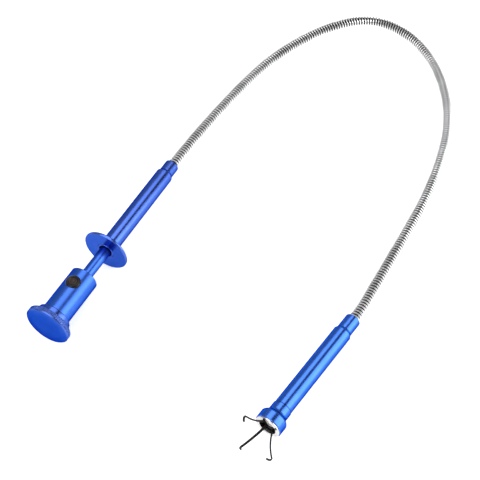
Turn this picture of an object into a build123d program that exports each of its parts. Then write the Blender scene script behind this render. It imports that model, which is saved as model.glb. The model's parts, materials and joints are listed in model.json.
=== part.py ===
from build123d import *
import os
from math import atan2, cos, degrees, hypot, radians, sin, tan

# Flexible claw-and-magnet pickup tool, in millimetres.
# Origin: centre of the thumb knob's end face.  +Y runs along the handle towards the shaft, +Z is up.
# The centreline of the whole tool lies in the plane z = 0.

# ---------------------------------------------------------------- driving dimensions
FIT = 0.05  # radial clearance of a running fit
EDGE = 0.3  # chamfer on most turned edges
FINE_EDGE = 0.2  # chamfer on thin or hidden edges
BROAD_EDGE = 0.5  # chamfer on the edges that a hand meets
STROKE = 16.0  # thumb plunger travel; the claws are stored fully out

# end cap (thumb knob)
KNOB_R = 13.4
KNOB_LENGTH = 3.3
KNOB_EDGE = 0.6
HUB_R = 10.0
HUB_END = 7.6
HUB_EDGE = 0.4
CAP_FLOOR = 1.9  # thickness of the closed end
CAP_SPRING_R = (2.0, 2.8)  # inside and outside of the battery spring
CAP_PLATE_R = 4.6
CAP_PLATE_THICKNESS = 0.5

# battery barrel
BARREL_R = 8.2
BARREL_BORE_R = 6.2
BARREL_END = 37.4
BARREL_FRONT_WALL = 2.5
SPIGOT_R = 7.0
SPIGOT_START = 3.9
SEAL_START = 5.0
SEAL_END = 6.2
SEAL_DEPTH = 0.5
CELL_R = 5.8
CELL_LENGTH = 5.4
CELL_COUNT = 3
CELL_START = 5.4
CELL_GAP = 0.02  # left at each end of a cell
BUTTON_Y = 27.5
BUTTON_HOLE_R = 4.25
BUTTON_R = 4.18
BUTTON_TRAVEL = 0.8
BUTTON_CROWN = 9.3
BUTTON_DOME = 1.0
BUTTON_FLOOR = 2.2  # height of the switch under the button

# plunger rod
ROD_R = 3.35
ROD_BORE_R = 1.5
ROD_START = 33.4
CLAMP_R = 2.6
CLAMP_LENGTH = 2.0

# grip tube and finger flange
GRIP_R = 5.2
GRIP_BORE_R = 4.2
GRIP_START = 58.9
GRIP_SHOULDER = 124.0
NECK_TAPER = 1.6
NECK_R = 4.35
NECK_END = 133.2
FERRULE_LENGTH = 6.0
FLANGE_R = 13.8
FLANGE_THICKNESS = 1.7
BUSH_RECESS = 2.5
BUSH_LENGTH = 8.0
COLLAR_LENGTH = 4.0
SPRING_R = (3.45, 4.0)  # inside and outside of the return spring
SPRING_GAP = 0.05  # between the return spring and what it pushes on
FLANGE_FILLET = 0.8

# flexible shaft
SHAFT_R = 3.4
SHAFT_BORE_R = 1.9
CABLE_R = 1.2
PATH_START_Y = 90.0
SHAFT_EXIT_Y = 132.6
REAR_SOCKET = 18.0  # shaft length held inside the grip tube
FRONT_SOCKET = 17.0  # shaft length held inside the head
CABLE_FRONT_REACH = 43.0  # cable length inside the head
# each run of the exposed shaft: (length, turn to the right in degrees)
SHAFT_RUNS = [
    (90.5, 7.5),
    (55.0, 18.6),
    (28.0, 16.9),
    (15.0, 23.0),
    (15.4, 29.8),
    (28.0, 29.5),
    (32.0, 17.8),
    (58.0, 24.7),
    (60.0, 11.5),
    (70.0, 1.0),
    (11.5, 6.6),
]
# how far each bend between two runs can open, in degrees
BEND_LIMITS = [13, 18, 20, 26, 30, 24, 21, 18, 10]
END_GAP = 0.1  # left between two shaft ends that have closed up

# head, measured forward from the end of its neck
HEAD_R = 5.2
HEAD_BORE_R = 4.3
HEAD_NECK_R = 4.4
HEAD_NECK_START = 0.4
HEAD_NECK_END = 9.8
HEAD_SHOULDER = 11.6
HEAD_SOCKET_END = 12.0  # where the neck's bore opens into the tube
HEAD_TUBE_END = 72.0
BELL_START = 68.7
BELL_SLEEVE_R = 5.5
BELL_SLEEVE_END = 72.6
BELL_R = 7.7
BELL_SHOULDER = 76.3
BELL_END = 81.6
BELL_EDGE = 0.4
FLARE_MIDDLE = 2.2  # length of the hollow part of the flare
MAGNET_R = 7.2
MAGNET_BORE_R = 5.0
MAGNET_LENGTH = 4.0
MAGNET_FACE = 82.2

# claws and their carrier
CLAW_COUNT = 3
CLAW_WIDTH = 1.3
CLAW_THICKNESS = 0.7
CLAW_FIRST_ANGLE = 175.8  # place of the first claw about the head's axis, in degrees
CLAW_PIVOT_R = 3.0
CLAW_PIVOT_BACK = 3.0  # pivot to the magnet's face with the claws out
CLAW_MOUTH_R = 4.3
CLAW_TURN_PER_MM = 2.0  # degrees that a claw closes for each millimetre it is drawn in
CLAW_HOOK_LENGTH = 3.6
CLAW_HOOK_ANGLE = 50.0  # hook to the head's axis, with the claws out
CLAW_EYE_R = 0.55
CARRIER_LENGTH = 18.0
CARRIER_FRONT = 80.2
CARRIER_REAR = CARRIER_FRONT - CARRIER_LENGTH
CARRIER_WALL = 2.0  # the closed rear end, which grips the cable
SLOT_WIDTH = 1.5
SLOT_DEPTH = 4.0
LED_R = 1.5
LED_LENGTH = 9.0
LED_STANDS_OUT = 0.4
LED_HOLDER_R = 2.0

os.makedirs("parts", exist_ok=True)


# ---------------------------------------------------------------- helpers
def turned(*points):
    """A solid turned about the Y axis from a closed outline of (radius, station) points."""
    outline = make_face(Polyline(*points, close=True))
    return revolve(outline, axis=Axis.Y)


def sleeve(inner, outer, start, end, chamfer_rear=0.0, chamfer_front=0.0):
    """A tube about the Y axis with chamfered outer edges."""
    points = [(inner, start), (outer - chamfer_rear, start)]
    if chamfer_rear:
        points.append((outer, start + chamfer_rear))
    points.append((outer, end - chamfer_front))
    if chamfer_front:
        points.append((outer - chamfer_front, end))
    points.append((inner, end))
    return turned(*points)


def save(name, solid):
    solid.label = name
    export_step(solid, f"parts/{name}.step")


# ---------------------------------------------------------------- the centreline of the shaft
def centreline():
    """Every run as (start station, length, turn), from inside the grip tube to inside the head."""
    runs = [(SHAFT_EXIT_Y - PATH_START_Y, 0.0), *SHAFT_RUNS, (CABLE_FRONT_REACH, 0.0)]
    found, station = [], 0.0
    for length, turn in runs:
        found.append((station, length, turn))
        station += length
    return found


PATH = centreline()


def advance(x, y, heading, length, turn):
    """The point and heading at the end of one run."""
    if not turn:
        return x + length * cos(heading), y + length * sin(heading), heading
    radius = length / radians(turn)
    centre_x, centre_y = x + radius * sin(heading), y - radius * cos(heading)
    heading -= radians(turn)
    return centre_x - radius * sin(heading), centre_y + radius * cos(heading), heading


def point_at(station):
    """(x, y, heading in radians) at a station along the centreline."""
    x, y, heading = 0.0, PATH_START_Y, radians(90)
    for start, length, turn in PATH:
        share = min(max((station - start) / length, 0.0), 1.0)
        if share > 0:
            x, y, heading = advance(x, y, heading, length * share, turn * share)
    return x, y, heading


def along_shaft(outer, inner, first, last):
    """A tube, or a rod where inner is 0, that follows the centreline between two stations."""
    solids = []
    for start, length, turn in PATH:
        low, high = max(first, start), min(last, start + length)
        if high - low < 1e-6:
            continue
        x, y, heading = point_at(low)
        across = Plane(origin=(x, y, 0), x_dir=(0, 0, 1), z_dir=(cos(heading), sin(heading), 0))
        ring = Circle(outer) - Circle(inner) if inner else Circle(outer)
        section = across * ring
        if turn:
            radius = length / radians(turn)
            centre = (x + radius * sin(heading), y - radius * cos(heading), 0)
            solids.append(revolve(section, Axis(centre, (0, 0, -1)), turn * (high - low) / length))
        else:
            solids.append(extrude(section, high - low))
    whole = solids[0]
    for solid in solids[1:]:
        whole += solid
    return whole


SHAFT_START = SHAFT_EXIT_Y - PATH_START_Y - REAR_SOCKET
HEAD_STATION = PATH[-1][0]
# the bends lie between neighbouring runs; the last two runs move as one
BEND_STATIONS = [start for start, length, turn in PATH[2 : 2 + len(BEND_LIMITS)]]


def shaft_pieces(outer, inner, first, last):
    """One piece of shaft or cable for each body of the chain, cut back at every bend."""
    cuts = [outer * tan(radians(limit) / 2) + END_GAP for limit in BEND_LIMITS]
    starts = [first] + [s + cut for s, cut in zip(BEND_STATIONS, cuts)]
    ends = [s - cut for s, cut in zip(BEND_STATIONS, cuts)] + [last]
    return [along_shaft(outer, inner, start, end) for start, end in zip(starts, ends)]


# ---------------------------------------------------------------- end cap
def end_cap():
    outline = [
        (0, 0),
        (KNOB_R - KNOB_EDGE, 0),
        (KNOB_R, KNOB_EDGE),
        (KNOB_R, KNOB_LENGTH - EDGE),
        (KNOB_R - EDGE, KNOB_LENGTH),
        (HUB_R, KNOB_LENGTH),
        (HUB_R, HUB_END - HUB_EDGE),
        (HUB_R - HUB_EDGE, HUB_END),
        (SPIGOT_R + FIT, HUB_END),
        (SPIGOT_R + FIT, SPIGOT_START - FINE_EDGE),
        (BARREL_BORE_R, SPIGOT_START - FINE_EDGE),
        (BARREL_BORE_R, CAP_FLOOR),
        (0, CAP_FLOOR),
    ]
    return turned(*outline)


def cap_spring():
    """The battery spring and the plate at its end, just clear of the first cell."""
    inner, outer = CAP_SPRING_R
    plate_end = CELL_START - 2 * FIT
    plate_start = plate_end - CAP_PLATE_THICKNESS
    spring = sleeve(inner, outer, CAP_FLOOR, plate_start)
    return spring + sleeve(inner, CAP_PLATE_R, plate_start, plate_end)


cap_seal = sleeve(SPIGOT_R - SEAL_DEPTH, SPIGOT_R, SEAL_START, SEAL_END)


# ---------------------------------------------------------------- battery barrel
def switch_barrel():
    front = BARREL_END - BARREL_FRONT_WALL
    rear = HUB_END + FIT
    shell = turned(
        (BARREL_BORE_R, SPIGOT_START),
        (SPIGOT_R - EDGE, SPIGOT_START),
        (SPIGOT_R, SPIGOT_START + EDGE),
        (SPIGOT_R, SEAL_START),
        (SPIGOT_R - SEAL_DEPTH, SEAL_START),
        (SPIGOT_R - SEAL_DEPTH, SEAL_END),
        (SPIGOT_R, SEAL_END),
        (SPIGOT_R, rear),
        (BARREL_R - EDGE, rear),
        (BARREL_R, rear + EDGE),
        (BARREL_R, BARREL_END - EDGE),
        (BARREL_R - EDGE, BARREL_END),
        (ROD_R, BARREL_END),
        (ROD_R, front),
        (BARREL_BORE_R, front),
    )
    button_hole = Pos(0, BUTTON_Y, 0) * extrude(Circle(BUTTON_HOLE_R), BARREL_R + 1)
    return shell - button_hole


MODULE_START = CELL_START + CELL_COUNT * CELL_LENGTH + 0.5
MODULE_END = ROD_START - 0.2


def switch_module():
    body = sleeve(0, BARREL_BORE_R - FIT, MODULE_START, MODULE_END, FINE_EDGE, FINE_EDGE)
    pocket = Pos(0, BUTTON_Y, BUTTON_FLOOR) * extrude(Circle(BUTTON_HOLE_R), BARREL_R)
    return body - pocket


def switch_button():
    """A low domed cap over a straight skirt, which stands on the switch under it."""
    bottom = BUTTON_FLOOR + BUTTON_TRAVEL + 2 * FIT
    dome_r = (BUTTON_R**2 + BUTTON_DOME**2) / (2 * BUTTON_DOME)
    skirt = Pos(0, 0, bottom) * extrude(Circle(BUTTON_R), BUTTON_CROWN - bottom)
    return Pos(0, BUTTON_Y, 0) * (skirt & Pos(0, 0, BUTTON_CROWN - dome_r) * Sphere(dome_r))


def battery_sleeve():
    return sleeve(CELL_R + 2 * FIT, BARREL_BORE_R, CELL_START, MODULE_START - 2 * FIT)


# a brass disc that joins the barrel to the rod
front_contact = sleeve(
    ROD_R, BARREL_BORE_R - FIT, MODULE_END + 2 * FIT, BARREL_END - BARREL_FRONT_WALL
)


# ---------------------------------------------------------------- plunger rod
BUSH_START = GRIP_START + BUSH_RECESS
BUSH_END = BUSH_START + BUSH_LENGTH
COLLAR_START = BUSH_END + STROKE + 4 * FIT
COLLAR_END = COLLAR_START + COLLAR_LENGTH
ROD_END = COLLAR_END + 1.0
CLAMP_END = ROD_END + CLAMP_LENGTH

plunger_rod = sleeve(ROD_BORE_R, ROD_R, ROD_START, ROD_END, 0, EDGE)
rod_collar = sleeve(ROD_R, GRIP_BORE_R - FIT, COLLAR_START, COLLAR_END, EDGE, EDGE)
cable_clamp = sleeve(CABLE_R, CLAMP_R, ROD_END, CLAMP_END, FINE_EDGE, FINE_EDGE)
cable_at_rod = sleeve(0, CABLE_R, ROD_START, CLAMP_END)
rod_bush = sleeve(ROD_R + FIT, GRIP_BORE_R, BUSH_START, BUSH_END)


# ---------------------------------------------------------------- grip tube and finger flange
FERRULE_START = SHAFT_EXIT_Y - REAR_SOCKET
FERRULE_END = FERRULE_START + FERRULE_LENGTH


def grip_tube():
    return turned(
        (GRIP_BORE_R, GRIP_START),
        (GRIP_R - FINE_EDGE, GRIP_START),
        (GRIP_R, GRIP_START + FINE_EDGE),
        (GRIP_R, GRIP_SHOULDER),
        (NECK_R, GRIP_SHOULDER + NECK_TAPER),
        (NECK_R, NECK_END - EDGE),
        (NECK_R - EDGE, NECK_END),
        (SHAFT_R, NECK_END),
        (SHAFT_R, FERRULE_END),
        (GRIP_BORE_R, FERRULE_END),
    )


rear_ferrule = sleeve(SHAFT_R, GRIP_BORE_R, FERRULE_START, FERRULE_END)
return_spring = sleeve(*SPRING_R, COLLAR_END + SPRING_GAP, FERRULE_START - SPRING_GAP)


def finger_flange():
    rear, front = GRIP_START, GRIP_START + FLANGE_THICKNESS
    return turned(
        (GRIP_R, rear + FINE_EDGE),
        (GRIP_R + FINE_EDGE, rear),
        (FLANGE_R - BROAD_EDGE, rear),
        (FLANGE_R, rear + BROAD_EDGE),
        (FLANGE_R, front - BROAD_EDGE),
        (FLANGE_R - BROAD_EDGE, front),
        (GRIP_R + FLANGE_FILLET, front),
        (GRIP_R, front + FLANGE_FILLET),
    )


# ---------------------------------------------------------------- head
def place_on_head(solid):
    """Moves a piece built along +Y from the head's neck to its place on the shaft's end."""
    x, y, heading = point_at(HEAD_STATION)
    return Location((x, y, 0), (0, 0, degrees(heading) - 90)) * solid


def head_tube():
    return turned(
        (SHAFT_R, HEAD_NECK_START),
        (HEAD_NECK_R - EDGE, HEAD_NECK_START),
        (HEAD_NECK_R, HEAD_NECK_START + EDGE),
        (HEAD_NECK_R, HEAD_NECK_END),
        (HEAD_R, HEAD_SHOULDER),
        (HEAD_R, HEAD_TUBE_END),
        (HEAD_BORE_R, HEAD_TUBE_END),
        (HEAD_BORE_R, HEAD_SOCKET_END),
        (SHAFT_R, HEAD_SOCKET_END),
    )


def head_bell():
    """The front sleeve, which flares out to the collar that holds the magnet."""
    seat = MAGNET_FACE - MAGNET_LENGTH
    inside = Polyline(
        (BELL_R - BELL_EDGE, BELL_END),
        (MAGNET_R, BELL_END),
        (MAGNET_R, seat),
        (HEAD_R, seat),
        (HEAD_R, BELL_START),
        (BELL_SLEEVE_R, BELL_START),
        (BELL_SLEEVE_R, BELL_SLEEVE_END),
    )
    flare_height = BELL_R - BELL_SLEEVE_R
    middle = (BELL_SLEEVE_R + flare_height / 2, BELL_SLEEVE_END + FLARE_MIDDLE)
    waist = TangentArc((BELL_SLEEVE_R, BELL_SLEEVE_END), middle, tangent=(0, 1))
    shoulder = TangentArc(middle, (BELL_R, BELL_SHOULDER), tangent=waist % 1)
    side = Polyline(shoulder @ 1, (BELL_R, BELL_END - BELL_EDGE), (BELL_R - BELL_EDGE, BELL_END))
    return revolve(make_face(inside + waist + shoulder + side), axis=Axis.Y)


magnet_ring = sleeve(
    MAGNET_BORE_R, MAGNET_R, MAGNET_FACE - MAGNET_LENGTH, MAGNET_FACE, 0, FINE_EDGE
)
front_ferrule = sleeve(SHAFT_R, HEAD_BORE_R, HEAD_SOCKET_END, FRONT_SOCKET)


# ---------------------------------------------------------------- claw carrier and lamp
def claw_carrier():
    """A slotted slider with the lamp on its axis; each slot holds the root of one claw."""
    outer = HEAD_BORE_R - FIT
    wall_end = CARRIER_REAR + CARRIER_WALL
    body = sleeve(LED_HOLDER_R, outer, wall_end, CARRIER_FRONT, 0, FINE_EDGE)
    body += sleeve(CABLE_R, outer, CARRIER_REAR, wall_end, EDGE)
    slot_height = HEAD_BORE_R - CLAW_PIVOT_R + CLAW_EYE_R + 2 * FIT
    slot = Box(2 * slot_height, 2 * SLOT_DEPTH, SLOT_WIDTH)
    slot = Pos(HEAD_BORE_R, CARRIER_FRONT, 0) * slot
    for number in range(CLAW_COUNT):
        body -= Rot(0, claw_angle(number), 0) * slot
    return body


def claw_angle(number):
    """The turn about the head's axis that carries a claw to its place."""
    return CLAW_FIRST_ANGLE + 360.0 * number / CLAW_COUNT


LED_TIP = CARRIER_FRONT + LED_STANDS_OUT
LED_START = LED_TIP - LED_LENGTH


def led_lamp():
    base = Polyline((0, LED_TIP), (0, LED_START), (LED_R, LED_START), (LED_R, LED_TIP - LED_R))
    dome = RadiusArc((LED_R, LED_TIP - LED_R), (0, LED_TIP), -LED_R)
    return revolve(make_face(base + dome), axis=Axis.Y)


led_holder = sleeve(LED_R, LED_HOLDER_R, LED_START, CARRIER_FRONT - EDGE)
cable_at_carrier = sleeve(0, CABLE_R, CARRIER_REAR - CARRIER_WALL, LED_START)


# ---------------------------------------------------------------- claws
def claw_trace(drawn_in):
    """The point of a claw that meets the mouth when the claw is drawn in by this much.

    The claw closes as it is drawn in, always touching the mouth, so its curve is the mouth's
    path seen from the claw.  Returned as (radius, station) with the claws out."""
    forward = CLAW_PIVOT_BACK + drawn_in
    across = CLAW_MOUTH_R - CLAW_PIVOT_R
    reach = hypot(forward, across)
    angle = atan2(across, forward) + radians(CLAW_TURN_PER_MM * drawn_in)
    pivot_station = MAGNET_FACE - CLAW_PIVOT_BACK
    return CLAW_PIVOT_R + reach * sin(angle), pivot_station + reach * cos(angle)


def claw():
    """A spring-steel strip: an eye at its root, a flaring stem and an inward hook."""
    pivot = (CLAW_PIVOT_R, MAGNET_FACE - CLAW_PIVOT_BACK)
    mouth, middle, tip = [claw_trace(share * STROKE) for share in (0, 0.5, 1)]
    lean = radians(CLAW_HOOK_ANGLE)
    hook = (tip[0] - CLAW_HOOK_LENGTH * sin(lean), tip[1] + CLAW_HOOK_LENGTH * cos(lean))
    stem = ThreePointArc(mouth, middle, tip)
    strip = trace([Line(pivot, mouth), stem], line_width=CLAW_THICKNESS)
    strip += trace(Line(tip, hook), line_width=CLAW_THICKNESS)
    strip += Pos(*tip) * Circle(CLAW_THICKNESS / 2)
    strip += Pos(*mouth) * Circle(CLAW_THICKNESS / 2)
    strip += Pos(*pivot) * Circle(CLAW_EYE_R)
    return extrude(strip, CLAW_WIDTH / 2, both=True)


# ---------------------------------------------------------------- writing the pieces
def button_cell(number):
    start = CELL_START + number * CELL_LENGTH
    return sleeve(0, CELL_R, start + CELL_GAP, start + CELL_LENGTH - CELL_GAP, EDGE, EDGE)


handle_pieces = {
    "end_cap": end_cap(),
    "cap_spring": cap_spring(),
    "cap_seal": cap_seal,
    "switch_barrel": switch_barrel(),
    "switch_module": switch_module(),
    "switch_button": switch_button(),
    "battery_sleeve": battery_sleeve(),
    "front_contact": front_contact,
    "plunger_rod": plunger_rod,
    "rod_collar": rod_collar,
    "cable_clamp": cable_clamp,
    "control_cable_rod": cable_at_rod,
    "rod_bush": rod_bush,
    "grip_tube": grip_tube(),
    "finger_flange": finger_flange(),
    "return_spring": return_spring,
    "rear_ferrule": rear_ferrule,
}
head_pieces = {
    "head_tube": head_tube(),
    "head_bell": head_bell(),
    "magnet_ring": magnet_ring,
    "front_ferrule": front_ferrule,
    "claw_carrier": claw_carrier(),
    "led_lamp": led_lamp(),
    "led_holder": led_holder,
    "control_cable_carrier": cable_at_carrier,
}
for number in range(CELL_COUNT):
    handle_pieces[f"button_cell_{number + 1}"] = button_cell(number)
for number in range(CLAW_COUNT):
    head_pieces[f"claw_{number + 1}"] = Rot(0, claw_angle(number), 0) * claw()

for name, piece in handle_pieces.items():
    save(name, piece)
for name, piece in head_pieces.items():
    save(name, place_on_head(piece))

cable_start = CLAMP_END + EDGE - PATH_START_Y
cable_end = HEAD_STATION + CABLE_FRONT_REACH
gooseneck = shaft_pieces(SHAFT_R, SHAFT_BORE_R, SHAFT_START, HEAD_STATION + FRONT_SOCKET)
cable = shaft_pieces(CABLE_R, 0, cable_start, cable_end)
for number, (tube, core) in enumerate(zip(gooseneck, cable), start=1):
    save(f"gooseneck_{number}", tube)
    save(f"control_cable_{number}", core)
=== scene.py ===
import json
from math import atan2, cos, hypot, pi, radians, sin

import bpy
import numpy as np
from mathutils import Matrix, Vector

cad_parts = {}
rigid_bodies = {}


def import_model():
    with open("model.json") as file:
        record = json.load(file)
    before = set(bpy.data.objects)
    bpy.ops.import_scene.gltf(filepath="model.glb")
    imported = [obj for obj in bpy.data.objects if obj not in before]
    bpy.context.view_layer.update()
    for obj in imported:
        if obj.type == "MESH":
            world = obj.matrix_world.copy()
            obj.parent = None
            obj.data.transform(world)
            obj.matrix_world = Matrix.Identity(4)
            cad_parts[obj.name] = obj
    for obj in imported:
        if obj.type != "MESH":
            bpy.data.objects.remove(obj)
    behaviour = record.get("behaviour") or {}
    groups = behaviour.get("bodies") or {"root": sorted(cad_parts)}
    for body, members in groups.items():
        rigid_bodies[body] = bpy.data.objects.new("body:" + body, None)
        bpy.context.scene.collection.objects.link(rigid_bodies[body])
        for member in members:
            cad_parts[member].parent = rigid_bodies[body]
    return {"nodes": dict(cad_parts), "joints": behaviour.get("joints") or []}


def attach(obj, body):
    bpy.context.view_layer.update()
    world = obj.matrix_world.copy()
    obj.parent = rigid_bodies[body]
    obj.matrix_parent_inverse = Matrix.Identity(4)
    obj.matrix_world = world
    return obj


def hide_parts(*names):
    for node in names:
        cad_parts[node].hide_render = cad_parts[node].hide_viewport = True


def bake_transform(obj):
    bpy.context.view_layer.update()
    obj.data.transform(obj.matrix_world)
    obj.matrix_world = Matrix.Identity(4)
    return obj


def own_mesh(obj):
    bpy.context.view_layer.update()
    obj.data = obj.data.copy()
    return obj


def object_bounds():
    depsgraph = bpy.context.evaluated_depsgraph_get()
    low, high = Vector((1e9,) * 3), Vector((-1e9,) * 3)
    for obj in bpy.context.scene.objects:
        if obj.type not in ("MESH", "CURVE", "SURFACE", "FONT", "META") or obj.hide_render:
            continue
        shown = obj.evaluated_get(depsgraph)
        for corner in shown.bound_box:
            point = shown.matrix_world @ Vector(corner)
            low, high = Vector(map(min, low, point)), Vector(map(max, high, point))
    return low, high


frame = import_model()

# Everything is in metres, in the part's own frame: +Y along the handle, +Z up.
MM = 0.001
cad_low, cad_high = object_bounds()
FLOOR_Z = cad_low.z

# ---------------------------------------------------------------- camera
CAMERA_AZIMUTH = radians(28.65)
CAMERA_ELEVATION = radians(51.6)
CAMERA_DISTANCE = 719 * MM
CAMERA_AIM = Vector((58.1, 112.0, -13.5)) * MM
CAMERA_LENS, CAMERA_SENSOR = 92.1, 36  # in millimetres


def make_camera():
    data = bpy.data.cameras.new("camera")
    data.lens = CAMERA_LENS
    data.sensor_width = CAMERA_SENSOR
    data.clip_start, data.clip_end = 0.01, 50
    camera = bpy.data.objects.new("camera", data)
    bpy.context.collection.objects.link(camera)
    back = Vector((
        sin(CAMERA_AZIMUTH) * cos(CAMERA_ELEVATION),
        -cos(CAMERA_AZIMUTH) * cos(CAMERA_ELEVATION),
        sin(CAMERA_ELEVATION),
    ))
    camera.location = CAMERA_AIM + back * CAMERA_DISTANCE
    camera.rotation_euler = (-back).to_track_quat("-Z", "Y").to_euler()
    bpy.context.scene.camera = camera


make_camera()

# ---------------------------------------------------------------- the shaft's centreline, in millimetres
SHAFT_EXIT_Y = 132.6
# each run: (length, turn to the right in degrees)
SHAFT_RUNS = [
    (90.5, 7.5), (55.0, 18.6), (28.0, 16.9), (15.0, 23.0), (15.4, 29.8), (28.0, 29.5),
    (32.0, 17.8), (58.0, 24.7), (60.0, 11.5), (70.0, 1.0), (11.5, 6.6),
]
SHAFT_LENGTH = sum(length for length, turn in SHAFT_RUNS)
BEND_COUNT = 9


def centreline(station):
    """(x, y, heading) at a station from the neck; straight on before the first run and after the last."""
    x, y, heading = 0.0, SHAFT_EXIT_Y, pi / 2
    if station < 0:
        return x, y + station, heading
    for length, turn in SHAFT_RUNS:
        share = min(station / length, 1.0)
        radius = length / radians(turn)
        centre = x + radius * sin(heading), y - radius * cos(heading)
        heading -= radians(turn) * share
        x, y = centre[0] - radius * sin(heading), centre[1] + radius * cos(heading)
        station -= length
        if station <= 0:
            return x, y, heading
    return x + station * cos(heading), y + station * sin(heading), heading


HEAD_X, HEAD_Y, HEAD_HEADING = centreline(SHAFT_LENGTH)


# ---------------------------------------------------------------- mesh helpers
SHARP_ANGLE = radians(32)  # edges that turn by more stay sharp
UP = np.array([[0.0, 0.0, 1.0]])


def add_object(name, points, faces, body, slot, *materials):
    """A mesh piece from points in millimetres.  It rides on a body, unless body is None."""
    mesh = bpy.data.meshes.new(name)
    mesh.from_pydata((np.asarray(points, float) * MM).tolist(), [], faces)
    mesh.validate()
    for material in materials:
        mesh.materials.append(material)
    mesh.polygons.foreach_set("use_smooth", [True] * len(mesh.polygons))
    mesh.set_sharp_from_angle(angle=SHARP_ANGLE)
    piece = bpy.data.objects.new(name, mesh)
    bpy.context.collection.objects.link(piece)
    if body:
        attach(piece, body)
    return piece


def grid_faces(rows, columns, closed_rows=False, closed_columns=True):
    """Quads over a grid of points stored row by row."""
    faces = []
    for i in range(rows if closed_rows else rows - 1):
        for j in range(columns if closed_columns else columns - 1):
            a, b = i * columns + j, i * columns + (j + 1) % columns
            c, d = (i + 1) % rows * columns + (j + 1) % columns, (i + 1) % rows * columns + j
            faces.append((a, b, c, d))
    return faces


def lathe(profile, segments, relief=None):
    """An outline of (radius, station) turned about the Y axis.

    An outline that meets the axis is closed there by flat caps, and any other runs back to its start.
    relief(angles, radius, station) cuts into it."""
    angles = np.linspace(0, 2 * pi, segments, endpoint=False)
    rings = [(radius, station) for radius, station in profile if radius > 0]
    points = []
    for radius, station in rings:
        r = radius - (relief(angles, radius, station) if relief else 0.0)
        points.append(np.stack([r * np.cos(angles), np.full(segments, station), r * np.sin(angles)], 1))
    on_axis = len(rings) < len(profile)
    faces = grid_faces(len(rings), segments, closed_rows=not on_axis)
    if on_axis:
        last = (len(rings) - 1) * segments
        faces.append(tuple(reversed(range(segments))))
        faces.append(tuple(range(last, last + segments)))
    return np.concatenate(points), faces


def on_path(path, stations):
    """Points, tangents and sideways normals of a path function at many stations, in millimetres."""
    found = np.array([path(s) for s in stations])
    heading = found[:, 2]
    points = np.stack([found[:, 0], found[:, 1], 0 * heading], 1)
    tangents = np.stack([np.cos(heading), np.sin(heading), 0 * heading], 1)
    normals = np.stack([-np.sin(heading), np.cos(heading), 0 * heading], 1)
    return points, tangents, normals


def coil(path, first, last, mean_radius, wire_radius, pitch, phase=0.0, steps=20, sides=8):
    """Round wire wound about a path between two stations, closed at both ends."""
    count = max(int(round((last - first) / pitch * steps)), 2)
    stations = np.linspace(first, last, count + 1)
    centres, tangents, normals = on_path(path, stations)
    turn = (phase + 2 * pi * stations / pitch)[:, None]
    outward = np.cos(turn) * normals + np.sin(turn) * UP
    wire = centres + mean_radius * outward
    around = np.linspace(0, 2 * pi, sides, endpoint=False)
    rings = (
        wire[:, None]
        + wire_radius * np.cos(around)[None, :, None] * outward[:, None]
        + wire_radius * np.sin(around)[None, :, None] * tangents[:, None]
    )
    points = rings.reshape(-1, 3)
    faces = grid_faces(count + 1, sides)
    faces.append(tuple(range(sides)))
    faces.append(tuple(reversed(range(count * sides, (count + 1) * sides))))
    return points, faces


def hose(path, first, last, radius, step=1.5, sides=24):
    """A closed round bar that follows a path."""
    count = max(int(round((last - first) / step)), 2)
    centres, tangents, normals = on_path(path, np.linspace(first, last, count + 1))
    around = np.linspace(0, 2 * pi, sides, endpoint=False)
    rings = centres[:, None] + radius * (
        np.cos(around)[None, :, None] * normals[:, None] + np.sin(around)[None, :, None] * UP[:, None]
    )
    faces = grid_faces(count + 1, sides)
    faces.append(tuple(range(sides)))
    faces.append(tuple(reversed(range(count * sides, (count + 1) * sides))))
    return rings.reshape(-1, 3), faces


def joined(*meshes):
    """Several (points, faces) as one, and each face's number in the list of meshes."""
    points, faces, marks, offset = [], [], [], 0
    for mark, (some_points, some_faces) in enumerate(meshes):
        points.append(some_points)
        faces += [tuple(i + offset for i in face) for face in some_faces]
        marks += [mark] * len(some_faces)
        offset += len(some_points)
    return np.concatenate(points), faces, marks


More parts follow.
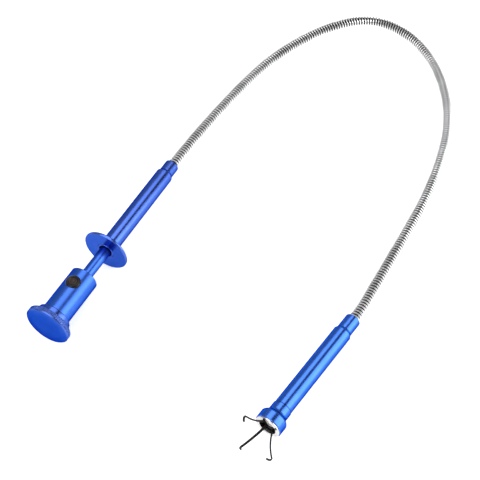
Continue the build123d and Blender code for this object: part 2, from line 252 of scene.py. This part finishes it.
# ---------------------------------------------------------------- materials
class Shader:
    """A material with its Principled shader, and short ways to add and link nodes."""

    def __init__(self, name, **sockets):
        self.material = bpy.data.materials.new(name)
        self.material.use_nodes = True
        self.nodes = self.material.node_tree.nodes
        self.links = self.material.node_tree.links
        self.surface = self.nodes["Principled BSDF"]
        for socket, value in sockets.items():
            self.surface.inputs[socket.replace("_", " ")].default_value = value

    def add(self, kind, inputs=None, **settings):
        node = self.nodes.new(kind)
        for key, value in settings.items():
            setattr(node, key, value)
        for key, value in (inputs or {}).items():
            if isinstance(value, bpy.types.NodeSocket):
                self.links.new(value, node.inputs[key])
            else:
                node.inputs[key].default_value = value
        return node

    def math(self, operation, first, second=0.0, clamp=False):
        inputs = {0: first, 1: second}
        return self.add("ShaderNodeMath", inputs, operation=operation, use_clamp=clamp).outputs[0]

    def noise(self, vector, scale, detail=3.0, roughness=0.55):
        inputs = {"Vector": vector, "Scale": scale, "Detail": detail, "Roughness": roughness}
        return self.add("ShaderNodeTexNoise", inputs).outputs["Fac"]

    def line_noise(self, distance, scale, detail=2.0):
        """Noise along one distance, which makes rings on a turned surface."""
        inputs = {"W": distance, "Scale": scale, "Detail": detail}
        return self.add("ShaderNodeTexNoise", inputs, noise_dimensions="1D").outputs["Fac"]

    def ramp(self, value, *stops):
        node = self.add("ShaderNodeValToRGB", {"Fac": value})
        ramp = node.color_ramp
        while len(ramp.elements) < len(stops):
            ramp.elements.new(0.5)
        for element, (place, colour) in zip(ramp.elements, stops):
            element.position = place
            element.color = (*colour, 1)
        return node.outputs["Color"]

    def scaled(self, value, low, high):
        """A 0 to 1 value mapped to a range."""
        return self.add(
            "ShaderNodeMapRange", {"Value": value, "To Min": low, "To Max": high}
        ).outputs["Result"]

    def mix(self, factor, first, second):
        node = self.add("ShaderNodeMix", data_type="RGBA")
        for socket, value in ((0, factor), (6, first), (7, second)):
            if isinstance(value, bpy.types.NodeSocket):
                self.links.new(value, node.inputs[socket])
            else:
                node.inputs[socket].default_value = value if socket == 0 else (*value, 1)
        return node.outputs[2]

    def into(self, socket, value):
        self.links.new(value, self.surface.inputs[socket])

    def bump(self, height, distance, edge_radius=0.0):
        """Fine relief, with the edges rounded by a radius in metres."""
        node = self.add("ShaderNodeBump", {"Height": height, "Distance": distance})
        if edge_radius:
            rounded = self.add("ShaderNodeBevel", {"Radius": edge_radius}, samples=6)
            self.links.new(rounded.outputs["Normal"], node.inputs["Normal"])
        self.into("Normal", node.outputs["Normal"])

    def place(self, on_head=False):
        """Coordinates in the piece's own axes, with +Y along the handle or the head."""
        coordinates = self.add("ShaderNodeTexCoord").outputs["Object"]
        if not on_head:
            return coordinates
        turn = HEAD_HEADING - pi / 2
        origin = Vector((HEAD_X * MM, HEAD_Y * MM, 0))
        back = Matrix.Rotation(-turn, 4, "Z") @ Matrix.Translation(-origin)
        mapping = self.add("ShaderNodeMapping", {"Vector": coordinates})
        mapping.inputs["Location"].default_value = back.to_translation()
        mapping.inputs["Rotation"].default_value = (0, 0, -turn)
        return mapping.outputs["Vector"]

    def turning_distance(self, coordinates):
        """Distance along a turned surface: along the axis on its side, outward on its end faces."""
        split = self.add("ShaderNodeSeparateXYZ", {"Vector": coordinates})
        across, up = (self.math("POWER", split.outputs[axis], 2.0) for axis in "XZ")
        outward = self.math("SQRT", self.math("ADD", across, up))
        return self.math("ADD", outward, split.outputs["Y"])

    def seam(self, coordinates, station, half_width=0.35):
        """1 in a narrow band round the axis, fading out to 0 on both sides."""
        along = self.add("ShaderNodeSeparateXYZ", {"Vector": coordinates}).outputs["Y"]
        away = self.math("ABSOLUTE", self.math("SUBTRACT", along, station * MM))
        return self.add(
            "ShaderNodeMapRange",
            {"Value": away, "From Min": half_width * MM, "From Max": half_width * MM / 2},
        ).outputs["Result"]

    def edges(self, radius=0.00025):
        """1 on sharp edges, where a rounded normal differs from the true one."""
        rounded = self.add("ShaderNodeBevel", {"Radius": radius}, samples=4).outputs["Normal"]
        true = self.add("ShaderNodeNewGeometry").outputs["True Normal"]
        same = self.add("ShaderNodeVectorMath", {0: rounded, 1: true}, operation="DOT_PRODUCT")
        return self.add(
            "ShaderNodeMapRange", {"Value": same.outputs["Value"], "From Min": 0.985, "From Max": 0.9}
        ).outputs["Result"]


def anodised(name, low, high, smoothest, on_head=False, seams=()):
    """Blue dyed aluminium with fine turning lines, worn edges, and dark seams at stations in millimetres."""
    shader = Shader(name, Metallic=1.0)
    shader.surface.inputs["Specular Tint"].default_value = (0.1, 0.12, 0.26, 1)
    where = shader.place(on_head)
    distance = shader.turning_distance(where)
    lines = shader.line_noise(distance, 5200.0, 3.0)
    bands = shader.line_noise(distance, 620.0, 2.0)
    cloud = shader.noise(where, 160.0, 4.0)
    colour = shader.ramp(cloud, (0.3, low), (0.7, high))
    colour = shader.mix(shader.scaled(bands, 0.0, 0.25), colour, [0.8 * value for value in low])
    patches = shader.scaled(shader.noise(where, 900.0), 0.0, 0.6)
    wear = shader.math("MULTIPLY", shader.edges(), patches, clamp=True)
    colour = shader.mix(wear, colour, (0.3, 0.45, 0.85))
    for station in seams:
        colour = shader.mix(shader.seam(where, station), colour, (0.003, 0.006, 0.03))
    shader.into("Base Color", colour)
    rough = shader.math(
        "ADD", shader.scaled(lines, smoothest, smoothest + 0.13), shader.scaled(cloud, -0.03, 0.05)
    )
    shader.into("Roughness", rough)
    relief = shader.math("ADD", lines, shader.math("MULTIPLY", bands, 0.6))
    shader.bump(relief, 0.000006, edge_radius=0.00015)
    return shader.material


def bright_wire():
    """Drawn spring wire: bright, with fine scratches along it, and darker and lighter in broad random patches.
    """
    shader = Shader("gooseneck_wire", Metallic=1.0)
    where = shader.place()
    scratches = shader.noise(where, 2600.0, 2.0)
    tone_patches = shader.noise(where, 70.0, 4.0)
    colour = shader.ramp(tone_patches, (0.35, (0.62, 0.62, 0.62)), (0.65, (0.85, 0.85, 0.86)))
    shader.into("Base Color", colour)
    shader.into("Roughness", shader.scaled(scratches, 0.16, 0.34))
    shader.bump(scratches, 0.000004)
    return shader.material


def dark_filler():
    """The inner wire between the bright turns, made near black: painted shade in the gaps between the turns."""
    shader = Shader("gooseneck_filler_painted_shade", Metallic=1.0)
    where = shader.place()
    grain = shader.noise(where, 1800.0, 3.0)
    shader.into("Base Color", shader.ramp(grain, (0.3, (0.004, 0.004, 0.004)), (0.75, (0.02, 0.02, 0.021))))
    shader.into("Roughness", shader.scaled(grain, 0.35, 0.6))
    return shader.material


def nickel():
    """Bright nickel over a sintered magnet, with handling marks."""
    shader = Shader("nickel_plate", Metallic=1.0)
    where = shader.place(on_head=True)
    marks = shader.noise(where, 1400.0, 4.0)
    stain = shader.noise(where, 260.0, 3.0)
    shader.into("Base Color", shader.ramp(stain, (0.3, (0.5, 0.49, 0.48)), (0.7, (0.68, 0.67, 0.66))))
    shader.into("Roughness", shader.scaled(marks, 0.12, 0.3))
    shader.bump(marks, 0.000008)
    return shader.material


def black_oxide():
    """Blackened spring steel with a faint brown cast and rubbed edges."""
    shader = Shader("black_oxide_steel", Metallic=0.85)
    where = shader.place()
    grain = shader.noise(where, 1500.0, 4.0)
    cast = shader.noise(where, 300.0, 2.0)
    colour = shader.ramp(cast, (0.3, (0.008, 0.008, 0.009)), (0.75, (0.028, 0.024, 0.021)))
    colour = shader.mix(shader.math("MULTIPLY", shader.edges(), 0.35), colour, (0.16, 0.15, 0.15))
    shader.into("Base Color", colour)
    shader.into("Roughness", shader.scaled(grain, 0.32, 0.5))
    shader.bump(grain, 0.00001)
    return shader.material


def turned_metal(name, low, high, rough, on_head=False):
    """A plain turned or drawn metal, between two tones."""
    shader = Shader(name, Metallic=1.0)
    where = shader.place(on_head)
    lines = shader.line_noise(shader.turning_distance(where), 3800.0, 3.0)
    cloud = shader.noise(where, 240.0, 4.0)
    shader.into("Base Color", shader.ramp(cloud, (0.3, low), (0.7, high)))
    shader.into("Roughness", shader.scaled(lines, rough - 0.08, rough + 0.08))
    shader.bump(lines, 0.000008)
    return shader.material


def moulded(name, low, high, rough):
    """Moulded plastic or rubber with a fine grain."""
    shader = Shader(name)
    where = shader.place()
    grain = shader.noise(where, 1600.0, 3.0)
    cloud = shader.noise(where, 180.0, 3.0)
    shader.into("Base Color", shader.ramp(cloud, (0.3, low), (0.7, high)))
    shader.into("Roughness", shader.scaled(grain, rough - 0.05, rough + 0.07))
    shader.bump(grain, 0.00001)
    return shader.material


# the middle of the button's top, in millimetres
BUTTON_Y, BUTTON_TOP = 27.5, 9.0
# radii of the brownish painted highlight on the button's top: where it fades out, and where it is full
HIGHLIGHT_PATCH_R, HIGHLIGHT_PATCH_FULL_R = 2.6, 1.4


def button_plastic():
    """Glossy black plastic, with a brownish painted highlight blotched over the middle of the dished top."""
    shader = Shader("button_plastic", Specular_IOR_Level=0.3)
    where = shader.place()
    grain = shader.noise(where, 900.0, 3.0)
    cloud = shader.noise(where, 380.0, 3.0)
    middle = (0, BUTTON_Y * MM, BUTTON_TOP * MM)
    away = shader.add("ShaderNodeVectorMath", {0: where, 1: middle}, operation="DISTANCE").outputs["Value"]
    near = shader.add(
        "ShaderNodeMapRange", {"Value": away, "From Min": HIGHLIGHT_PATCH_R * MM, "From Max": HIGHLIGHT_PATCH_FULL_R * MM}
    ).outputs["Result"]
    # painted highlight: brownish in the middle of the top, blotched by noise
    painted_highlight = shader.math("MULTIPLY", near, shader.scaled(cloud, 0.5, 1.0))
    black = shader.ramp(cloud, (0.3, (0.004, 0.003, 0.004)), (0.7, (0.01, 0.008, 0.01)))
    shader.into("Base Color", shader.mix(painted_highlight, black, (0.05, 0.026, 0.018)))
    shader.into("Roughness", shader.scaled(grain, 0.14, 0.26))
    shader.bump(grain, 0.000005)
    return shader.material


def lamp_epoxy():
    """Clear lamp resin with a faint haze."""
    shader = Shader("lamp_epoxy", Roughness=0.06, IOR=1.54, Transmission_Weight=0.75)
    where = shader.place()
    haze = shader.noise(where, 700.0, 2.0)
    shader.into("Base Color", shader.ramp(haze, (0.3, (0.86, 0.9, 0.96)), (0.7, (0.95, 0.97, 1.0))))
    return shader.material


HEAD_SEAM = 68.5  # station of the joint between the head's tube and its bell
BLUE_BARREL = anodised("anodised_barrel", (0.045, 0.13, 0.55), (0.055, 0.15, 0.63), 0.24)
BLUE_GRIP = anodised("anodised_grip", (0.06, 0.125, 0.5), (0.075, 0.145, 0.57), 0.16)
BLUE_HEAD = anodised(
    "anodised_head", (0.045, 0.14, 0.58), (0.06, 0.165, 0.66), 0.17, on_head=True, seams=(HEAD_SEAM,)
)
WIRE = bright_wire()
FILLER = dark_filler()
NICKEL = nickel()
CLAW_STEEL = black_oxide()
CARRIER_STEEL = turned_metal("carrier_steel", (0.006, 0.006, 0.007), (0.02, 0.02, 0.022), 0.4, on_head=True)
SPRING_WIRE = turned_metal("spring_wire", (0.42, 0.42, 0.43), (0.6, 0.6, 0.6), 0.3)
FERRULE_STEEL = turned_metal("ferrule_steel", (0.45, 0.44, 0.43), (0.6, 0.6, 0.6), 0.32, on_head=True)
BRASS = turned_metal("brass", (0.5, 0.33, 0.12), (0.66, 0.46, 0.2), 0.28)
CELL_CAN = turned_metal("cell_can", (0.55, 0.55, 0.56), (0.72, 0.72, 0.73), 0.2)
BLACK_PLASTIC = moulded("black_plastic", (0.012, 0.012, 0.013), (0.022, 0.022, 0.023), 0.45)
BUTTON_PLASTIC = button_plastic()
WHITE_PLASTIC = moulded("white_plastic", (0.62, 0.61, 0.57), (0.72, 0.71, 0.68), 0.4)
JACKET = moulded("cable_jacket", (0.03, 0.03, 0.032), (0.05, 0.05, 0.055), 0.5)
RUBBER = moulded("seal_rubber", (0.012, 0.012, 0.012), (0.03, 0.03, 0.03), 0.6)
EPOXY = lamp_epoxy()

CAD_MATERIALS = {
    "switch_barrel": BLUE_BARREL,
    "plunger_rod": BLUE_BARREL,
    "grip_tube": BLUE_GRIP,
    "finger_flange": BLUE_GRIP,
    "head_tube": BLUE_HEAD,
    "head_bell": BLUE_HEAD,
    "magnet_ring": NICKEL,
    "rod_bush": BRASS,
    "rod_collar": BRASS,
    "front_contact": BRASS,
    "cable_clamp": BRASS,
    "rear_ferrule": SPRING_WIRE,
    "front_ferrule": FERRULE_STEEL,
    "return_spring": SPRING_WIRE,
    "cap_spring": SPRING_WIRE,
    "cap_seal": RUBBER,
    "switch_module": BLACK_PLASTIC,
    "battery_sleeve": BLACK_PLASTIC,
    "claw_carrier": CARRIER_STEEL,
    "led_lamp": EPOXY,
    "led_holder": WHITE_PLASTIC,
}
FAMILY_MATERIALS = {"claw_": CLAW_STEEL, "button_cell_": CELL_CAN, "control_cable_": JACKET}


def dress_cad_pieces():
    """Gives each piece of the frame its material, by its own name or by its family's."""
    for name, node in frame["nodes"].items():
        family = next((m for start, m in FAMILY_MATERIALS.items() if name.startswith(start)), None)
        material = CAD_MATERIALS.get(name, family)
        if material:
            for slot in node.material_slots:
                slot.material = material


dress_cad_pieces()


# ---------------------------------------------------------------- the flexible shaft
COIL_PITCH = 1.85
COIL_WIRE_R = 0.55
COIL_OUTER_R = 3.4
FILLER_R = 2.3
COIL_HIDDEN = 2.0  # how far the winding runs into each neck
CABLE_R = 1.2
CABLE_REAR_REACH = 39.7  # cable inside the grip tube
CABLE_FRONT_REACH = 43.0  # cable inside the head


def run_middles():
    """Stations at the middle of every run but the last, the short one at the head."""
    middles, station = [], 0.0
    for length, turn in SHAFT_RUNS[: BEND_COUNT + 1]:
        middles.append(station + length / 2)
        station += length
    return middles


def shaft_bodies():
    """The bodies of the chain, in order, read from the bend joints."""
    bends = [j for j in frame["joints"] if j["name"].startswith("shaft_bend_")]
    bends.sort(key=lambda j: int(j["name"].rsplit("_", 1)[1]))
    return [bends[0]["parent"]] + [j["child"] for j in bends]


def shaft_piece(number, first, last):
    """One stretch of winding, with the near-black inner winding between its turns as painted shade, and the
    cable inside it.
    """
    mean_radius = COIL_OUTER_R - COIL_WIRE_R
    winding = coil(centreline, first, last, mean_radius, COIL_WIRE_R, COIL_PITCH)
    inner = hose(centreline, first, last, FILLER_R)
    cable_first = -CABLE_REAR_REACH if first < 0 else first
    cable_last = SHAFT_LENGTH + CABLE_FRONT_REACH if last > SHAFT_LENGTH else last
    cable = hose(centreline, cable_first, cable_last, CABLE_R)
    points, faces, marks = joined(winding, inner, cable)
    piece = add_object(
        f"gooseneck_winding_{number}", points, faces, None, "gooseneck_steel", WIRE, FILLER, JACKET
    )
    piece.data.polygons.foreach_set("material_index", marks)
    return piece


def point_on_shaft(station):
    x, y, heading = centreline(station)
    return (x * MM, y * MM, 0.0)


def make_shaft():
    bodies = shaft_bodies()
    middles = run_middles()
    stations = [-COIL_HIDDEN] + middles + [SHAFT_LENGTH + COIL_HIDDEN]
    for number, (first, last) in enumerate(zip(stations, stations[1:]), start=1):
        piece = shaft_piece(number, first, last)
        if number == 1:
            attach(piece, bodies[0])
        elif number == len(stations) - 1:
            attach(piece, bodies[-1])
        else:
            point_on_shaft(first)
            point_on_shaft(last)
            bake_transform(piece)
        if number <= len(bodies):
            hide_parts(f"gooseneck_{number}", f"control_cable_{number}")


make_shaft()

# ---------------------------------------------------------------- claws
MAGNET_FACE = 82.2  # stations along the head, in millimetres
CLAW_FIRST_ANGLE = radians(175.8)
CLAW_WIDTH, CLAW_THICKNESS = 1.4, 0.95
CLAW_CORNER = 0.16
CLAW_TAPER = 0.18  # how much of its section a claw loses from root to tip
RIVET_R, RIVET_REACH, RIVET_SIDES = 0.55, 0.65, 20
# points of a claw as (radius, distance forward of the magnet's face)
CLAW_PIVOT = (3.0, -3.0)
CLAW_MOUTH, CLAW_MIDDLE, CLAW_TIP = (3.75, -0.4), (8.07, 5.65), (14.7, 11.2)
CLAW_HOOK = ((14.75, 12.2), (14.2, 12.75), (12.7, 13.3))
# each claw is sprung out by its own angle, in degrees, and keeps its own share of its reach when drawn in
CLAW_LEANS = (-10.4, 11.5, -1.2)
CLAW_KEEPS = (1.0, 0.58, 0.9)


def arc_through(first, middle, last, count):
    """Points on the circle through three points, from the first to the last."""
    (ax, ay), (bx, by), (cx, cy) = first, middle, last
    d = 2 * (ax * (by - cy) + bx * (cy - ay) + cx * (ay - by))
    aa, bb, cc = ax * ax + ay * ay, bx * bx + by * by, cx * cx + cy * cy
    ox = (aa * (by - cy) + bb * (cy - ay) + cc * (ay - by)) / d
    oy = (aa * (cx - bx) + bb * (ax - cx) + cc * (bx - ax)) / d
    start, end = atan2(ay - oy, ax - ox), atan2(cy - oy, cx - ox)
    turns = np.linspace(start, start + (end - start + pi) % (2 * pi) - pi, count)
    radius = hypot(ax - ox, ay - oy)
    return [(ox + radius * cos(t), oy + radius * sin(t)) for t in turns]


def claw_line(lean):
    """The middle line of a claw, turned outward about its pivot."""
    line = [CLAW_PIVOT, *arc_through(CLAW_MOUTH, CLAW_MIDDLE, CLAW_TIP, 22), *CLAW_HOOK]
    turn = radians(lean)
    found = []
    for radius, station in line:
        out, forward = radius - CLAW_PIVOT[0], station - CLAW_PIVOT[1]
        found.append((
            CLAW_PIVOT[0] + out * cos(turn) + forward * sin(turn),
            CLAW_PIVOT[1] - out * sin(turn) + forward * cos(turn),
        ))
    return np.array(found)


def on_head(radius, station, angle):
    """A point in millimetres from a radius, a station and an angle about the head's axis."""
    forward = np.array([cos(HEAD_HEADING), sin(HEAD_HEADING), 0])
    outward = np.array([sin(HEAD_HEADING) * cos(angle), -cos(HEAD_HEADING) * cos(angle), -sin(angle)])
    return np.array([HEAD_X, HEAD_Y, 0]) + forward * station + outward * radius


def make_claw(number):
    """A bent spring strip with rounded edges, tapered to its hook, with a rivet through its root."""
    angle = CLAW_FIRST_ANGLE + number * 2 * pi / 3
    line = claw_line(CLAW_LEANS[number])
    along = np.gradient(line, axis=0)
    along /= np.linalg.norm(along, axis=1)[:, None]
    w, t, c = CLAW_WIDTH / 2, CLAW_THICKNESS / 2, CLAW_CORNER
    half = [(w, t - c), (w - c, t), (c - w, t), (-w, t - c)]
    section = half + [(-a, -b) for a, b in half]
    outward = on_head(1, 0, angle) - on_head(0, 0, angle)
    forward = on_head(0, 1, angle) - on_head(0, 0, angle)
    sideways = np.cross(forward, outward)
    points = []
    for (radius, station), (dr, ds), share in zip(line, along, np.linspace(0, 1, len(line))):
        size = 1 - CLAW_TAPER * share
        centre = on_head(radius, MAGNET_FACE + station, angle)
        normal = outward * ds - forward * dr
        points += [centre + sideways * a * size + normal * b * size for a, b in section]
    count, sides = len(line), len(section)
    faces = grid_faces(count, sides)
    faces += [tuple(reversed(range(sides))), tuple(range((count - 1) * sides, count * sides))]
    turns = np.linspace(0, 2 * pi, RIVET_SIDES, endpoint=False)
    centre = on_head(CLAW_PIVOT[0], MAGNET_FACE + CLAW_PIVOT[1], angle)
    rivet = [
        centre + sideways * side + RIVET_R * (cos(t) * outward + sin(t) * forward)
        for side in (-RIVET_REACH, RIVET_REACH) for t in turns
    ]
    rivet_faces = grid_faces(2, RIVET_SIDES)
    rivet_faces += [tuple(reversed(range(RIVET_SIDES))), tuple(range(RIVET_SIDES, 2 * RIVET_SIDES))]
    points, faces, _ = joined((np.array(points), faces), (np.array(rivet), rivet_faces))
    name = f"claw_{number + 1}"
    piece = add_object(f"spring_claw_{number + 1}", points, faces, name, "claw_steel", CLAW_STEEL)
    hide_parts(name)
    if CLAW_KEEPS[number] < 1:
        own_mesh(piece)


for number in range(len(CLAW_LEANS)):
    make_claw(number)

# ---------------------------------------------------------------- springs, as (mean radius, wire radius, pitch)
PLUNGER_SPRING = (3.72, 0.26, 2.3)
CONTACT_SPRING = (2.4, 0.2, 0.8)
CONTACT_FIRST, CONTACT_LAST = 2.1, 4.6
# the rounded plate on the contact spring's end, as (radius, station)
CONTACT_PLATE = [(2.0, 4.8), (4.4, 4.8), (4.6, 4.9), (4.6, 5.2), (4.4, 5.3), (2.0, 5.3)]
SPRING_STEPS = 32  # points in a turn


def along_handle(station):
    """The handle's axis, as a path."""
    return 0.0, station, pi / 2


def make_springs():
    """The coil that returns the plunger, and the one that presses on the cells."""
    first, last = 89.75, 114.45
    points, faces = coil(along_handle, first, last, *PLUNGER_SPRING, steps=SPRING_STEPS)
    spring = add_object("plunger_spring", points, faces, None, "spring_steel", SPRING_WIRE)
    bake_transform(spring)
    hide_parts("return_spring")
    wire = coil(along_handle, CONTACT_FIRST, CONTACT_LAST, *CONTACT_SPRING, steps=SPRING_STEPS)
    points, faces, _ = joined(wire, lathe(CONTACT_PLATE, 48))
    contact = add_object("cell_contact_spring", points, faces, "cap", "spring_steel", SPRING_WIRE)
    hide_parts("cap_spring")


make_springs()

# ---------------------------------------------------------------- thumb knob
KNOB_R = 13.4
KNURL_COUNT = 64
KNURL_DEPTH = 0.4
KNURL_RISE = 1.18  # length along the rim in which a groove moves on by one knurl
KNURL_START, KNURL_END = 0.62, 2.98


def knurl(angles, radius, station):
    """How deep the two crossing sets of grooves cut at a point of the rim."""
    if radius < KNOB_R - 1e-6 or not KNURL_START <= station <= KNURL_END:
        return 0.0
    right = np.abs(2 * np.mod(KNURL_COUNT * angles / (2 * pi) + station / KNURL_RISE, 1) - 1)
    left = np.abs(2 * np.mod(KNURL_COUNT * angles / (2 * pi) - station / KNURL_RISE, 1) - 1)
    return KNURL_DEPTH * np.maximum(right, left)


def knob_profile():
    """The knob's outline from the middle of its face, round the rim and the hub, to the bottom of its bore."""
    rim = [(KNOB_R, y) for y in np.linspace(KNURL_START, KNURL_END, 22)]
    face = [(0.0, 0.0), (4.0, 0.0), (8.0, 0.0), (12.6, 0.0), (12.8, 0.03), (13.3, 0.5), (13.37, 0.58)]
    back = [(13.35, 3.04), (13.1, 3.28), (13.0, 3.3), (10.12, 3.3), (10.0, 3.36), (10.0, 3.5), (10.0, 7.1)]
    hub_end = [(9.95, 7.3), (9.72, 7.55), (9.5, 7.6), (7.1, 7.6), (7.05, 7.55), (7.05, 3.7)]
    inside = [(6.2, 3.7), (6.2, 1.9), (0.0, 1.9)]
    return face + rim + back + hub_end + inside


def make_knob():
    """The knurled thumb knob with its hub."""
    points, faces = lathe(knob_profile(), KNURL_COUNT * 8, knurl)
    knob = add_object("thumb_knob", points, faces, "cap", "blue_anodised", BLUE_GRIP)
    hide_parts("end_cap")


make_knob()


# ---------------------------------------------------------------- lamp button
def make_button():
    """A glossy push button: a raised ring round a dished top with a low centre."""
    profile = [
        (0.0, 3.1), (4.1, 3.1), (4.18, 3.2), (4.18, 8.1),
        (4.12, 8.35), (3.9, 8.62), (3.5, 8.85), (3.1, 8.93),
        (2.75, 8.86), (2.45, 8.68), (2.1, 8.6), (1.7, 8.66),
        (1.3, 8.9), (0.9, 9.12), (0.4, 9.24), (0.0, 9.27),
    ]
    points, faces = lathe(profile, 64)
    upright = np.stack([points[:, 0], BUTTON_Y - points[:, 2], points[:, 1]], 1)
    piece = add_object("lamp_button", upright, faces, "button", "button_plastic", BUTTON_PLASTIC)
    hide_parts("switch_button")


make_button()


# ---------------------------------------------------------------- floor and light
FLOOR_HALF = 3.0  # in metres
FLOOR_GLOW = 0.6
DARK_PATCH = Vector((0.42, 0.52, 0.745)).normalized()  # the way to the middle of the world's dark patch


def make_floor():
    """White paper under the object, which gives a little light of its own."""
    mesh = bpy.data.meshes.new("floor")
    size = FLOOR_HALF
    corners = [(-size, -size), (size, -size), (size, size), (-size, size)]
    mesh.from_pydata([(x, y, FLOOR_Z) for x, y in corners], [], [(0, 1, 2, 3)])
    floor = bpy.data.objects.new("floor", mesh)
    bpy.context.collection.objects.link(floor)
    shader = Shader("floor_paper", Roughness=0.9)
    shader.surface.inputs["Specular IOR Level"].default_value = 0.1
    grain = shader.noise(shader.place(), 60.0, 4.0)
    shader.into("Base Color", shader.ramp(grain, (0.3, (0.9, 0.9, 0.9)), (0.7, (0.93, 0.93, 0.93))))
    shader.surface.inputs["Emission Color"].default_value = (1, 1, 1, 1)
    shader.surface.inputs["Emission Strength"].default_value = FLOOR_GLOW
    mesh.materials.append(shader.material)


def soft_box(name, centre, aim, width, height, radiance):
    """A rectangular light, placed and aimed in millimetres.  radiance 1 makes a mirror of it look white."""
    data = bpy.data.lights.new(name, "AREA")
    data.shape = "RECTANGLE"
    data.size, data.size_y = width * MM, height * MM
    data.energy = radiance * pi * data.size * data.size_y
    light = bpy.data.objects.new(name, data)
    bpy.context.collection.objects.link(light)
    light.location = Vector(centre) * MM
    light.rotation_euler = (Vector(aim) - Vector(centre)).to_track_quat("-Z", "Y").to_euler()


def make_world():
    """Even light from all round, darker in one patch high behind the object, between the two nearer lights."""
    world = bpy.data.worlds.new("studio")
    bpy.context.scene.world = world
    world.use_nodes = True
    nodes, links = world.node_tree.nodes, world.node_tree.links
    nodes["Background"].inputs["Color"].default_value = (1, 1, 1, 1)
    direction = nodes.new("ShaderNodeTexCoord")
    towards = nodes.new("ShaderNodeVectorMath")
    towards.operation = "DOT_PRODUCT"
    towards.inputs[1].default_value = DARK_PATCH
    fade = nodes.new("ShaderNodeMapRange")
    fade.interpolation_type = "SMOOTHSTEP"
    for socket, value in (("From Min", 0.80), ("From Max", 0.97), ("To Min", 0.5), ("To Max", 0.1)):
        fade.inputs[socket].default_value = value
    links.new(direction.outputs["Generated"], towards.inputs[0])
    links.new(towards.outputs["Value"], fade.inputs["Value"])
    links.new(fade.outputs["Result"], nodes["Background"].inputs["Strength"])


make_floor()
make_world()
soft_box("ceiling_box", (-50, 330, 620), (-30, 150, 0), 470, 380, 2.3)
soft_box("right_box", (690, 320, 290), (100, 60, 0), 480, 660, 3.3)
soft_box("front_box", (-250, -900, 900), (60, 60, 0), 1100, 900, 2.4)

bpy.context.scene.view_settings.view_transform = "Standard"
